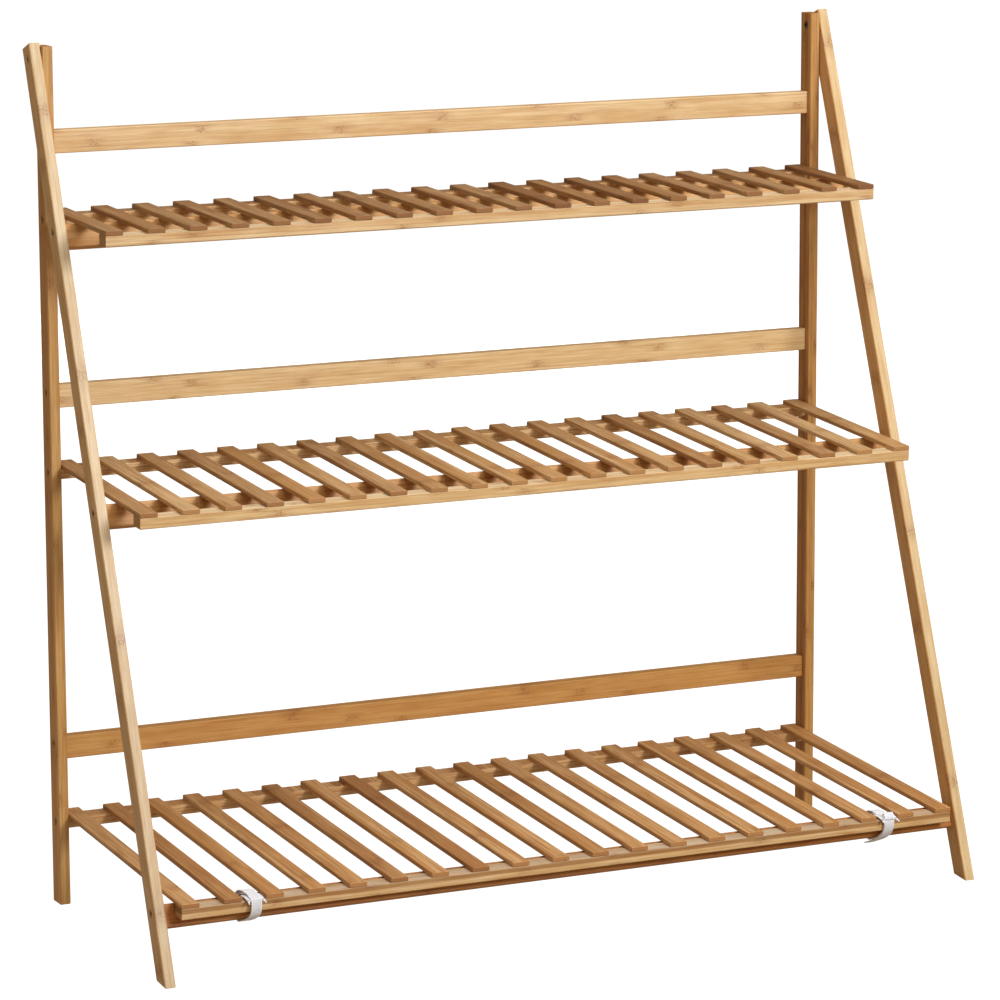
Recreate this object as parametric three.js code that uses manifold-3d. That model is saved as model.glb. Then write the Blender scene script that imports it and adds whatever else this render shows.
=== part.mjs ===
// A folding plant ladder stand: an upright rear frame, a leaning front frame
// hung from its top, and three slatted shelves that hinge on the rear posts
// and rest on the cross rails of the front frame.
// Millimetres. X runs across the stand, the front faces -Y, and Z is up.
// While the pieces are made, Y = 0 is the rear face of the posts.

import * as THREE from 'three';
import Module from 'manifold-3d';

const wasm = await Module();
wasm.setup();

// ---- driving sizes ----------------------------------------------------

const SHELF_WIDTH = 930;

const POST_WIDTH = 12;
const POST_DEPTH = 24;
const POST_HEIGHT = 954;

const LEG_WIDTH = 12;
const LEG_DEPTH = 24;
const LEG_LEAN = THREE.MathUtils.degToRad(20.59);
const LEG_ABOVE_PIVOT = 15; // along the leg, from the pivot to its square end
const SOLE_TILT = THREE.MathUtils.degToRad(5); // the sole was cut for a wider spread
const PIVOT_BELOW_POST_TOP = 14;

const RAIL_HEIGHT = 25.5; // the same stock makes back rails and cross rails
const RAIL_DEPTH = 15.5;
const BACK_RAIL_INSET = 2; // from the rear face of the posts
const BACK_RAIL_RISE = 71.5; // underside of a back rail above its shelf's pivot

const SLAT_COUNT = 20;
const SLAT_WIDTH = 20;
const SLAT_THICKNESS = 5;
const BATTEN_HEIGHT = 12; // the two battens under the slats of a shelf
const BATTEN_DEPTH = 20;
const PIVOT_BELOW_SLATS = 5;

const EDGE = 1; // flat that eases every long edge
const SLAT_EDGE = 0.8;

const BOTTOM_SHELF_ABOVE_FLOOR = 93.1; // shelves are placed by their own pivots
const MIDDLE_SHELF_BELOW_PIVOT = 452.9; // below the pivot of the legs
const TOP_SHELF_BELOW_PIVOT = 174.1;
const MIDDLE_SHELF_DEPTH = 262.5; // along the slats
const TOP_SHELF_DEPTH = 175;
const BOTTOM_SHELF_DIP = THREE.MathUtils.degToRad(3.06); // the front hangs lower
const MIDDLE_SHELF_DIP = THREE.MathUtils.degToRad(3.31);
const TOP_SHELF_DIP = THREE.MathUtils.degToRad(1.76);

const BOLT_RADIUS = 2.5;
const BOLT_HEAD_RADIUS = 4.2;
const BOLT_HEAD_THICKNESS = 3;
const BOLT_GRIP_IN_RAIL = 34;
const BOLT_HEAD_SUNK = 1;
const PIVOT_HEAD_SUNK = 0.2;
const BOLT_RISE = 4.5; // above the centre of the rail
const BOLT_BEHIND_CENTRE = 1; // of the post or leg
const SOCKET_ACROSS = 4;
const SOCKET_DEPTH = 2;

const NUT_SLEEVE_RADIUS = 3.5;
const NUT_FLANGE_RADIUS = 4.2;
const NUT_FLANGE_THICKNESS = 1.6;
const NUT_SLEEVE_LENGTH = 8;

const DOWEL_RADIUS = 3;
const DOWEL_DROP = 6; // below the centre of the rail
const DOWEL_IN_MEMBER = 7;
const DOWEL_IN_RAIL = 20;

const STRAP_WIDTH = 12;
const STRAP_THICKNESS = 1.4;
const STRAP_SLAT_GAP = 2; // the strap stands in the second gap from each end
const TAB_WIDTH = 20;
const TAB_LENGTH = 30;
const TAB_LIP = 7; // how far the tab hangs over the front of the batten
const TAIL_LENGTH = 28;
const TAIL_DROP = 2;

// ---- clearances -------------------------------------------------------

const SEAT = 0.3; // between pieces that bear on each other
const BORE_GAP = 0.3; // round a bolt, a nut or a dowel
const SHELF_SIDE_GAP = 0.5; // shelf to post
const LEG_SIDE_GAP = 0.5; // post to leg

// ---- places worked out from the sizes ---------------------------------

const POST_INNER_X = SHELF_WIDTH / 2 + SHELF_SIDE_GAP;
const POST_OUTER_X = POST_INNER_X + POST_WIDTH;
const LEG_INNER_X = POST_OUTER_X + LEG_SIDE_GAP;
const LEG_OUTER_X = LEG_INNER_X + LEG_WIDTH;
const POST_CENTRE_Y = -POST_DEPTH / 2;
const LEG_PIVOT_Z = POST_HEIGHT - PIVOT_BELOW_POST_TOP;
const SLAT_PITCH = (SHELF_WIDTH - SLAT_WIDTH) / (SLAT_COUNT - 1);
const BORE_RADIUS = BOLT_RADIUS + BORE_GAP;
const HEAD_BORE_RADIUS = BOLT_HEAD_RADIUS + BORE_GAP;
const ROUND_SIDES = 16;
const OVERSHOOT = 1; // how far a cutting tool runs past the face it cuts

// The bottom shelf has no depth of its own: its front batten hooks over the
// cross rail, which sets it.
const SHELVES = [
  {
    name: 'top',
    pivotZ: LEG_PIVOT_Z - TOP_SHELF_BELOW_PIVOT,
    depth: TOP_SHELF_DEPTH,
    dip: TOP_SHELF_DIP,
  },
  {
    name: 'middle',
    pivotZ: LEG_PIVOT_Z - MIDDLE_SHELF_BELOW_PIVOT,
    depth: MIDDLE_SHELF_DEPTH,
    dip: MIDDLE_SHELF_DIP,
  },
  {
    name: 'bottom',
    pivotZ: BOTTOM_SHELF_ABOVE_FLOOR,
    depth: null,
    dip: BOTTOM_SHELF_DIP,
  },
];

// A point of a shelf, given by its distance in front of the pivot and above it.
function onShelf(shelf, forward, up) {
  const cos = Math.cos(shelf.dip);
  const sin = Math.sin(shelf.dip);
  return new THREE.Vector2(
    POST_CENTRE_Y - forward * cos - up * sin,
    shelf.pivotZ - forward * sin + up * cos,
  );
}

// A rail's centre, its lean, and where its bolts stand behind that centre.
function backRail(shelf) {
  const y = -BACK_RAIL_INSET - RAIL_DEPTH / 2;
  const z = shelf.pivotZ + BACK_RAIL_RISE + RAIL_HEIGHT / 2;
  const centre = new THREE.Vector2(y, z);
  return { centre, lean: 0, boltBehind: POST_CENTRE_Y + BOLT_BEHIND_CENTRE - y };
}

// A cross rail leans with the legs, flush with their rear faces. The slats of
// its shelf rest on its top front edge, which sets how far down the legs it is.
function crossRail(shelf) {
  const behind = (LEG_DEPTH - RAIL_DEPTH) / 2;
  const front = RAIL_DEPTH / 2 - behind;
  const fall = (LEG_PIVOT_Z - shelf.pivotZ) * Math.cos(shelf.dip);
  const rise = front * Math.sin(LEG_LEAN + shelf.dip);
  const toEdge = (fall + rise - PIVOT_BELOW_SLATS + SEAT) / Math.cos(LEG_LEAN + shelf.dip);
  const centre = onLeg(behind, toEdge + RAIL_HEIGHT / 2);
  return { centre, lean: LEG_LEAN, boltBehind: BOLT_BEHIND_CENTRE - behind };
}

// A point given by its distance behind the leg's centre line and down from the pivot.
function onLeg(behind, down) {
  return new THREE.Vector2(
    POST_CENTRE_Y - down * Math.sin(LEG_LEAN) + behind * Math.cos(LEG_LEAN),
    LEG_PIVOT_Z - down * Math.cos(LEG_LEAN) - behind * Math.sin(LEG_LEAN),
  );
}

// A point given by its distance behind a rail's centre and above it.
function onRail({ centre, lean }, behind, up) {
  return new THREE.Vector2(
    centre.x + behind * Math.cos(lean) + up * Math.sin(lean),
    centre.y - behind * Math.sin(lean) + up * Math.cos(lean),
  );
}

// How far a shelf's slats reach in front of its pivot.
function shelfReach(shelf) {
  if (shelf.depth !== null) return shelf.depth - POST_DEPTH / 2;
  const edge = onRail(crossRail(shelf), -RAIL_DEPTH / 2, RAIL_HEIGHT / 2);
  const forward = POST_CENTRE_Y - edge.x;
  const down = shelf.pivotZ - edge.y;
  const toEdge = forward * Math.cos(shelf.dip) + down * Math.sin(shelf.dip);
  const angle = LEG_LEAN + shelf.dip;
  return toEdge + BATTEN_HEIGHT * Math.tan(angle) + SEAT / Math.cos(angle) + BATTEN_DEPTH;
}

// ---- solids -----------------------------------------------------------

// Welds a geometry's corners and hands it to the boolean library.
function solid(geometry) {
  const position = geometry.getAttribute('position');
  const source = geometry.index ? Array.from(geometry.index.array) : null;
  const corners = source ?? Array.from({ length: position.count }, (_, i) => i);
  const seen = new Map();
  const points = [];
  const welded = corners.map((corner) => {
    const point = [position.getX(corner), position.getY(corner), position.getZ(corner)];
    const key = point.map((value) => Math.round(value * 1e5)).join(',');
    if (!seen.has(key)) {
      seen.set(key, points.length / 3);
      points.push(...point);
    }
    return seen.get(key);
  });
  const faces = [];
  for (let i = 0; i < welded.length; i += 3) {
    const [a, b, c] = welded.slice(i, i + 3);
    if (a !== b && b !== c && c !== a) faces.push(a, b, c);
  }
  const mesh = new wasm.Mesh({
    numProp: 3,
    vertProperties: new Float32Array(points),
    triVerts: new Uint32Array(faces),
  });
  return new wasm.Manifold(mesh);
}

function cut(body, tools) {
  return tools.reduce((rest, tool) => rest.subtract(tool), body);
}

function join(bodies) {
  return bodies.reduce((whole, body) => whole.add(body));
}

// A section with eased corners, centred on the origin.
function easedSection(width, height, edge) {
  const x = width / 2;
  const y = height / 2;
  return new THREE.Shape([
    new THREE.Vector2(-x + edge, -y),
    new THREE.Vector2(x - edge, -y),
    new THREE.Vector2(x, -y + edge),
    new THREE.Vector2(x, y - edge),
    new THREE.Vector2(x - edge, y),
    new THREE.Vector2(-x + edge, y),
    new THREE.Vector2(-x, y - edge),
    new THREE.Vector2(-x, -y + edge),
  ]);
}

function extruded(shape, length) {
  return new THREE.ExtrudeGeometry(shape, { depth: length, bevelEnabled: false });
}

// A shape drawn in the Y-Z plane, extruded along X and centred on x.
function acrossX(shape, x, width) {
  const geometry = extruded(shape, width);
  geometry.translate(0, 0, -width / 2);
  geometry.applyMatrix4(new THREE.Matrix4().set(
    0, 0, 1, x,
    1, 0, 0, 0,
    0, 1, 0, 0,
    0, 0, 0, 1,
  ));
  return solid(geometry);
}

// A round bar along X between two stations, centred on a point of the Y-Z plane.
function pin(centre, fromX, toX, radius) {
  const length = Math.abs(toX - fromX);
  const geometry = new THREE.CylinderGeometry(radius, radius, length, ROUND_SIDES);
  geometry.rotateZ(Math.PI / 2);
  geometry.translate((fromX + toX) / 2, centre.x, centre.y);
  return solid(geometry);
}

// The bore for a bolt that enters a member's outer face on one side of the stand.
function boltBore(side, centre, outerX, innerX, sunk) {
  const seat = outerX - BOLT_HEAD_THICKNESS - sunk;
  const shank = pin(centre, side * (outerX + OVERSHOOT), side * (innerX - OVERSHOOT), BORE_RADIUS);
  const head = pin(centre, side * (outerX + OVERSHOOT), side * (seat - SEAT), HEAD_BORE_RADIUS);
  return [shank, head];
}

// The recess for a hexagon key. Its mouth is at a station of X, and it sinks
// toward the middle of the stand (inward 1) or away from it (inward -1).
function keySocket(side, centre, mouthX, inward) {
  const radius = SOCKET_ACROSS / Math.sqrt(3);
  const geometry = new THREE.CylinderGeometry(radius, radius, SOCKET_DEPTH + OVERSHOOT, 6);
  geometry.rotateZ(Math.PI / 2);
  const middle = mouthX - inward * (SOCKET_DEPTH - OVERSHOOT) / 2;
  geometry.translate(side * middle, centre.x, centre.y);
  return solid(geometry);
}

// A bolt with a socket head, its head toward the outer face.
function bolt(side, centre, outerX, sunk, tipX) {
  const headTop = outerX - sunk;
  const headFloor = headTop - BOLT_HEAD_THICKNESS;
  const head = pin(centre, side * headTop, side * headFloor, BOLT_HEAD_RADIUS);
  const shank = pin(centre, side * (headFloor + OVERSHOOT), side * tipX, BOLT_RADIUS);
  return join([head, shank]).subtract(keySocket(side, centre, headTop, 1));
}

// ---- pieces -----------------------------------------------------------

const SIDES = [
  { name: 'left', sign: -1 },
  { name: 'right', sign: 1 },
];
const pivot = new THREE.Vector2(POST_CENTRE_Y, LEG_PIVOT_Z);

function boltPoint(rail) {
  return onRail(rail, rail.boltBehind, BOLT_RISE);
}

function dowelPoint(rail) {
  return onRail(rail, 0, -DOWEL_DROP);
}

// The blind hole in a member's inner face for the dowel of a rail.
function dowelHole(side, rail, innerX) {
  const end = side * (innerX + DOWEL_IN_MEMBER + SEAT);
  return pin(dowelPoint(rail), side * (innerX - OVERSHOOT), end, DOWEL_RADIUS + BORE_GAP);
}

function post(side) {
  const section = easedSection(POST_WIDTH, POST_DEPTH, EDGE);
  const geometry = extruded(section, POST_HEIGHT);
  geometry.translate(side * (POST_INNER_X + POST_WIDTH / 2), POST_CENTRE_Y, 0);
  const tools = SHELVES.flatMap((shelf) => {
    const rail = backRail(shelf);
    const hinge = new THREE.Vector2(POST_CENTRE_Y, shelf.pivotZ);
    return [
      ...boltBore(side, boltPoint(rail), POST_OUTER_X, POST_INNER_X, BOLT_HEAD_SUNK),
      ...boltBore(side, hinge, POST_OUTER_X, POST_INNER_X, BOLT_HEAD_SUNK),
      dowelHole(side, rail, POST_INNER_X),
    ];
  });
  const flangeSeat = POST_INNER_X + NUT_FLANGE_THICKNESS + SEAT;
  const nutBore = pin(
    pivot,
    side * (POST_INNER_X - OVERSHOOT),
    side * (POST_OUTER_X + OVERSHOOT),
    NUT_SLEEVE_RADIUS + BORE_GAP,
  );
  const flangeBore = pin(
    pivot,
    side * (POST_INNER_X - OVERSHOOT),
    side * flangeSeat,
    NUT_FLANGE_RADIUS + BORE_GAP,
  );
  return cut(solid(geometry), [...tools, nutBore, flangeBore]);
}

// A leg leans about the pivot. Its top is square, and its sole meets the floor
// on the front edge.
function leg(side) {
  const below = LEG_PIVOT_Z / Math.cos(LEG_LEAN) + LEG_DEPTH;
  const section = easedSection(LEG_WIDTH, LEG_DEPTH, EDGE);
  const geometry = extruded(section, below + LEG_ABOVE_PIVOT);
  geometry.translate(side * (LEG_INNER_X + LEG_WIDTH / 2), 0, -below);
  geometry.rotateX(-LEG_LEAN);
  geometry.translate(0, POST_CENTRE_Y, LEG_PIVOT_Z);
  const toFloor = LEG_PIVOT_Z / Math.cos(LEG_LEAN) + LEG_DEPTH / 2 * Math.tan(LEG_LEAN);
  const toe = onLeg(-LEG_DEPTH / 2, toFloor);
  const size = 4 * LEG_DEPTH;
  const ground = new THREE.BoxGeometry(size, size, size);
  ground.translate(0, size / 2 - LEG_DEPTH, -size / 2);
  ground.rotateX(SOLE_TILT);
  ground.translate(side * (LEG_INNER_X + LEG_WIDTH / 2), toe.x, toe.y);
  const tools = SHELVES.flatMap((shelf) => {
    const rail = crossRail(shelf);
    return [
      ...boltBore(side, boltPoint(rail), LEG_OUTER_X, LEG_INNER_X, BOLT_HEAD_SUNK),
      dowelHole(side, rail, LEG_INNER_X),
    ];
  });
  const hinge = boltBore(side, pivot, LEG_OUTER_X, LEG_INNER_X, PIVOT_HEAD_SUNK);
  return cut(solid(geometry), [solid(ground), ...tools, ...hinge]);
}

// A rail between two members, bored for a bolt and a dowel in each end.
function railBar(rail, innerX) {
  const section = easedSection(RAIL_DEPTH, RAIL_HEIGHT, EDGE);
  const lean = -THREE.MathUtils.radToDeg(rail.lean);
  const bar = acrossX(section, 0, 2 * (innerX - SEAT)).rotate([lean, 0, 0]);
  const tools = SIDES.flatMap(({ sign }) => {
    const outer = sign * (innerX + OVERSHOOT);
    const boltEnd = sign * (innerX - BOLT_GRIP_IN_RAIL - SEAT);
    const dowelEnd = sign * (innerX - DOWEL_IN_RAIL - SEAT);
    return [
      pin(boltPoint(rail), outer, boltEnd, BORE_RADIUS),
      pin(dowelPoint(rail), outer, dowelEnd, DOWEL_RADIUS + BORE_GAP),
    ];
  });
  return cut(bar.translate([0, rail.centre.x, rail.centre.y]), tools);
}

function railBolt(side, rail, outerX, innerX) {
  return bolt(side, boltPoint(rail), outerX, BOLT_HEAD_SUNK, innerX - BOLT_GRIP_IN_RAIL);
}

function dowel(side, rail, innerX) {
  const outer = side * (innerX + DOWEL_IN_MEMBER);
  return pin(dowelPoint(rail), outer, side * (innerX - DOWEL_IN_RAIL), DOWEL_RADIUS);
}

function pivotBolt(side) {
  const tip = POST_OUTER_X - NUT_SLEEVE_LENGTH + SEAT;
  return bolt(side, pivot, LEG_OUTER_X, PIVOT_HEAD_SUNK, tip);
}

// The sleeve nut that takes the pivot bolt, its flange flush with the post's
// inner face and sunk for a key.
function pivotNut(side) {
  const flange = pin(
    pivot,
    side * POST_INNER_X,
    side * (POST_INNER_X + NUT_FLANGE_THICKNESS),
    NUT_FLANGE_RADIUS,
  );
  const sleeve = pin(pivot, side * POST_INNER_X, side * (POST_OUTER_X - SEAT), NUT_SLEEVE_RADIUS);
  const bore = pin(
    pivot,
    side * (POST_OUTER_X - NUT_SLEEVE_LENGTH),
    side * (POST_OUTER_X + OVERSHOOT),
    BORE_RADIUS,
  );
  return cut(join([flange, sleeve]), [bore, keySocket(side, pivot, POST_INNER_X, -1)]);
}

// Turns a solid made level, with its hinge at the origin, into the shelf's place.
function placeShelf(body, shelf) {
  const degrees = THREE.MathUtils.radToDeg(shelf.dip);
  return body.rotate([degrees, 0, 0]).translate([0, POST_CENTRE_Y, shelf.pivotZ]);
}

function slatLeft(index) {
  return -SHELF_WIDTH / 2 + SLAT_PITCH * index;
}

// One slat, level, from behind the hinge to its front end.
function slat(index, reach) {
  const top = SLAT_THICKNESS;
  const shape = new THREE.Shape([
    new THREE.Vector2(0, 0),
    new THREE.Vector2(SLAT_WIDTH, 0),
    new THREE.Vector2(SLAT_WIDTH, top - SLAT_EDGE),
    new THREE.Vector2(SLAT_WIDTH - SLAT_EDGE, top),
    new THREE.Vector2(SLAT_EDGE, top),
    new THREE.Vector2(0, top - SLAT_EDGE),
  ]);
  const geometry = extruded(shape, reach + POST_DEPTH / 2);
  geometry.rotateX(Math.PI / 2);
  geometry.translate(slatLeft(index), POST_DEPTH / 2, PIVOT_BELOW_SLATS);
  return solid(geometry);
}

// A batten across the shelf, level, with its lower edges eased. Its top is at
// the given height above the hinge.
function batten(frontY, topZ) {
  const floor = topZ - BATTEN_HEIGHT;
  const backY = frontY + BATTEN_DEPTH;
  const shape = new THREE.Shape([
    new THREE.Vector2(frontY + EDGE, floor),
    new THREE.Vector2(backY - EDGE, floor),
    new THREE.Vector2(backY, floor + EDGE),
    new THREE.Vector2(backY, topZ),
    new THREE.Vector2(frontY, topZ),
    new THREE.Vector2(frontY, floor + EDGE),
  ]);
  return acrossX(shape, 0, SHELF_WIDTH);
}

// The slats of a shelf with the back batten that carries them, which is bored
// for the shelf's hinge bolts.
function deck(shelf) {
  const reach = shelfReach(shelf);
  const slats = Array.from({ length: SLAT_COUNT }, (_, index) => slat(index, reach));
  const back = batten(POST_DEPTH / 2 - BATTEN_DEPTH, PIVOT_BELOW_SLATS);
  const hinge = new THREE.Vector2(0, 0);
  const tools = SIDES.map(({ sign }) => {
    const end = sign * (POST_INNER_X - BOLT_GRIP_IN_RAIL - SEAT);
    return pin(hinge, sign * POST_OUTER_X, end, BORE_RADIUS);
  });
  return placeShelf(cut(join([back, ...slats]), tools), shelf);
}

// The batten under the front ends of the slats.
function frontBatten(shelf) {
  return placeShelf(batten(-shelfReach(shelf), PIVOT_BELOW_SLATS - SEAT), shelf);
}

function shelfBolt(side, shelf) {
  const hinge = new THREE.Vector2(POST_CENTRE_Y, shelf.pivotZ);
  return bolt(side, hinge, POST_OUTER_X, BOLT_HEAD_SUNK, POST_INNER_X - BOLT_GRIP_IN_RAIL);
}

// ---- the straps -------------------------------------------------------

// The convex outline of some points, anticlockwise.
function outline(points) {
  const sorted = [...points].sort((a, b) => a.x - b.x || a.y - b.y);
  const turn = (a, b, c) => (b.x - a.x) * (c.y - a.y) - (b.y - a.y) * (c.x - a.x);
  const half = (list) => {
    const chain = [];
    for (const point of list) {
      while (chain.length > 1 && turn(chain.at(-2), chain.at(-1), point) <= 0) chain.pop();
      chain.push(point);
    }
    return chain.slice(0, -1);
  };
  return [...half(sorted), ...half(sorted.reverse())];
}

// A convex outline moved outward by a distance, with sharp corners.
function grown(points, distance) {
  return points.map((point, i) => {
    const before = points.at(i - 1);
    const after = points[(i + 1) % points.length];
    const into = point.clone().sub(before).normalize();
    const out = after.clone().sub(point).normalize();
    const normal = new THREE.Vector2(into.y + out.y, -into.x - out.x).normalize();
    const stretch = distance / (normal.x * into.y - normal.y * into.x);
    return point.clone().addScaledVector(normal, stretch);
  });
}

// What a strap goes round: the front batten and the cross rail behind it.
function wrapped(shelf) {
  const reach = shelfReach(shelf);
  const rail = crossRail(shelf);
  const corners = [-1, 1].flatMap((behind) => [-1, 1].map((up) => (
    onRail(rail, behind * RAIL_DEPTH / 2, up * RAIL_HEIGHT / 2)
  )));
  return outline([
    ...corners,
    onShelf(shelf, reach, PIVOT_BELOW_SLATS - BATTEN_HEIGHT),
    onShelf(shelf, reach, PIVOT_BELOW_SLATS),
    onShelf(shelf, reach - BATTEN_DEPTH, PIVOT_BELOW_SLATS),
  ]);
}

// A strip of the strap's thickness that follows a line in the Y-Z plane.
function strip(line, x, width) {
  const upper = line.map((point, i) => {
    const from = line[Math.max(i - 1, 0)];
    const to = line[Math.min(i + 1, line.length - 1)];
    const along = to.clone().sub(from).normalize();
    return new THREE.Vector2(-along.y, along.x).multiplyScalar(STRAP_THICKNESS).add(point);
  });
  const shape = new THREE.Shape([...line, ...upper.reverse()]);
  return acrossX(shape, x, width);
}

// A hook-and-loop strap: a closed band, the wide end that laps over its top,
// and on one side a loose tail under the rail.
function strap(side, shelf, hasTail) {
  const gap = side < 0 ? STRAP_SLAT_GAP : SLAT_COUNT - STRAP_SLAT_GAP;
  const x = (slatLeft(gap - 1) + SLAT_WIDTH + slatLeft(gap)) / 2;
  const inner = grown(wrapped(shelf), SEAT);
  const outer = grown(wrapped(shelf), SEAT + STRAP_THICKNESS);
  const ring = new THREE.Shape(outer);
  ring.holes.push(new THREE.Path(inner));
  const band = acrossX(ring, x, STRAP_WIDTH);

  const half = SEAT + STRAP_THICKNESS / 2;
  const reach = shelfReach(shelf);
  const edge = onShelf(shelf, reach + half, PIVOT_BELOW_SLATS + half);
  const back = onShelf(shelf, reach - TAB_LENGTH, PIVOT_BELOW_SLATS + half);
  const lip = edge.clone().add(new THREE.Vector2(-STRAP_THICKNESS, -TAB_LIP));
  const pieces = [band, strip([lip, edge, back], x, TAB_WIDTH)];
  if (hasTail) {
    const rail = crossRail(shelf);
    const under = -RAIL_HEIGHT / 2 - half;
    const start = onRail(rail, -RAIL_DEPTH / 2, under);
    const end = onRail(rail, TAIL_LENGTH - RAIL_DEPTH / 2, under - TAIL_DROP);
    pieces.push(strip([end, start], x, STRAP_WIDTH));
  }
  return join(pieces);
}

// ---- assembly ---------------------------------------------------------

const bamboo = { color: 0xc9985a, roughness: 0.55, metalness: 0 };
const steel = { color: 0xb8babd, roughness: 0.3, metalness: 1 };
const beech = { color: 0xd8b98a, roughness: 0.7, metalness: 0 };
const webbing = { color: 0xdedbe6, roughness: 0.9, metalness: 0 };

const stand = new THREE.Group();
stand.name = 'plant_ladder_stand';

function addPiece(name, body, finish) {
  const { vertProperties, triVerts } = body.getMesh();
  const geometry = new THREE.BufferGeometry();
  geometry.setAttribute('position', new THREE.BufferAttribute(vertProperties, 3));
  geometry.setIndex(new THREE.BufferAttribute(triVerts, 1));
  const flat = geometry.toNonIndexed();
  flat.computeVertexNormals();
  const mesh = new THREE.Mesh(flat, new THREE.MeshStandardMaterial(finish));
  mesh.name = name;
  stand.add(mesh);
}

for (const { name: hand, sign } of SIDES) {
  addPiece(`rear_post_${hand}`, post(sign), bamboo);
  addPiece(`front_leg_${hand}`, leg(sign), bamboo);
  addPiece(`leg_pivot_bolt_${hand}`, pivotBolt(sign), steel);
  addPiece(`leg_pivot_nut_${hand}`, pivotNut(sign), steel);
}

for (const shelf of SHELVES) {
  const back = backRail(shelf);
  const cross = crossRail(shelf);
  addPiece(`back_rail_${shelf.name}`, railBar(back, POST_INNER_X), bamboo);
  addPiece(`cross_rail_${shelf.name}`, railBar(cross, LEG_INNER_X), bamboo);
  addPiece(`shelf_deck_${shelf.name}`, deck(shelf), bamboo);
  addPiece(`shelf_batten_${shelf.name}`, frontBatten(shelf), bamboo);
  for (const { name: hand, sign } of SIDES) {
    const tag = `${shelf.name}_${hand}`;
    addPiece(`back_rail_bolt_${tag}`, railBolt(sign, back, POST_OUTER_X, POST_INNER_X), steel);
    addPiece(`back_rail_dowel_${tag}`, dowel(sign, back, POST_INNER_X), beech);
    addPiece(`cross_rail_bolt_${tag}`, railBolt(sign, cross, LEG_OUTER_X, LEG_INNER_X), steel);
    addPiece(`cross_rail_dowel_${tag}`, dowel(sign, cross, LEG_INNER_X), beech);
    addPiece(`shelf_hinge_bolt_${tag}`, shelfBolt(sign, shelf), steel);
  }
}

const bottom = SHELVES.at(-1);
addPiece('shelf_strap_left', strap(-1, bottom, false), webbing);
addPiece('shelf_strap_right', strap(1, bottom, true), webbing);

// The origin is the middle of the stand's footprint, on the floor.
const box = new THREE.Box3().setFromObject(stand);
const middleY = (box.min.y + box.max.y) / 2;
for (const mesh of stand.children) mesh.geometry.translate(0, -middleY, 0);

export default stand;
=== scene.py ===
import math

import bpy
from mathutils import Matrix, Vector


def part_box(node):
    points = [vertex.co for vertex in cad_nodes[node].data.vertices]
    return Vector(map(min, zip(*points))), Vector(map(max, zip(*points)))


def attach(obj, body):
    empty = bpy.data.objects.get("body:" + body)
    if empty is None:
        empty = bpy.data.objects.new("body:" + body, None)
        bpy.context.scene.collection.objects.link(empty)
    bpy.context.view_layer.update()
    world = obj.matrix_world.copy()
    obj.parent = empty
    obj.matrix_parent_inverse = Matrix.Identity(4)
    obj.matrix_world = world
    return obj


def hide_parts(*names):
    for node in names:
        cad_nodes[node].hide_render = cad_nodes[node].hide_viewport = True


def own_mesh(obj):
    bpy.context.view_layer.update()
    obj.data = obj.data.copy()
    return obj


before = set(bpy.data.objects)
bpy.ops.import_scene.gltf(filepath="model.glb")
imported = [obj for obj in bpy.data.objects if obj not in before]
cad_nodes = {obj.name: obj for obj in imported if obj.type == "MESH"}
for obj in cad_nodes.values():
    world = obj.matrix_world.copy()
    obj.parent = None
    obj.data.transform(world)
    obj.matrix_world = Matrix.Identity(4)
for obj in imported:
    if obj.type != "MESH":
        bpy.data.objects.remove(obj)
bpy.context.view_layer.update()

scene = bpy.context.scene

# ---- sizes as in the part's source, in metres --------------------------

SHELF_WIDTH = 0.93
HALF_SHELF = SHELF_WIDTH / 2
SLAT_COUNT = 20
SLAT_WIDTH = 0.020
SLAT_THICKNESS = 0.005
SLAT_PITCH = (SHELF_WIDTH - SLAT_WIDTH) / (SLAT_COUNT - 1)
SLAT_GAP = SLAT_PITCH - SLAT_WIDTH
LEG_LEAN = math.radians(20.59)
LEAN_SINE = math.sin(LEG_LEAN)
LEAN_COSINE = math.cos(LEG_LEAN)
SHELF_DIP = {
    "top": math.radians(1.76),
    "middle": math.radians(3.31),
    "bottom": math.radians(3.06),
}


# ---- camera, solved from the photograph --------------------------------

IMAGE_WIDTH = 1000  # pixels, and as high
FOCAL_LENGTH = 4614.25  # pixels
SENSOR_WIDTH = 36.0  # millimetres
CAMERA_PLACE = (-2.14787, -4.535297, 1.39042)
CAMERA_YAW = 0.4401  # radians, to the right of straight ahead
CAMERA_PITCH = -0.1860
CAMERA_ROLL = -0.0037
FAR_CLIP = 100.0


def add_camera():
    """The photograph's view: a long lens, from the left and a little above."""
    level = math.cos(CAMERA_PITCH)
    forward = Vector((
        math.sin(CAMERA_YAW) * level,
        math.cos(CAMERA_YAW) * level,
        math.sin(CAMERA_PITCH),
    ))
    right = Vector((math.cos(CAMERA_YAW), -math.sin(CAMERA_YAW), 0.0))
    up = right.cross(forward)
    roll_cosine, roll_sine = math.cos(CAMERA_ROLL), math.sin(CAMERA_ROLL)
    turned_right = roll_cosine * right + roll_sine * up
    turned_up = -roll_sine * right + roll_cosine * up
    turn = Matrix((turned_right, turned_up, -forward)).transposed().to_4x4()
    data = bpy.data.cameras.new("photo_camera")
    data.sensor_width = SENSOR_WIDTH
    data.lens = FOCAL_LENGTH / IMAGE_WIDTH * SENSOR_WIDTH
    data.clip_end = FAR_CLIP
    camera = bpy.data.objects.new("photo_camera", data)
    camera.matrix_world = Matrix.Translation(CAMERA_PLACE) @ turn
    scene.collection.objects.link(camera)
    scene.camera = camera


add_camera()


# ---- node helpers ------------------------------------------------------

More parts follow.
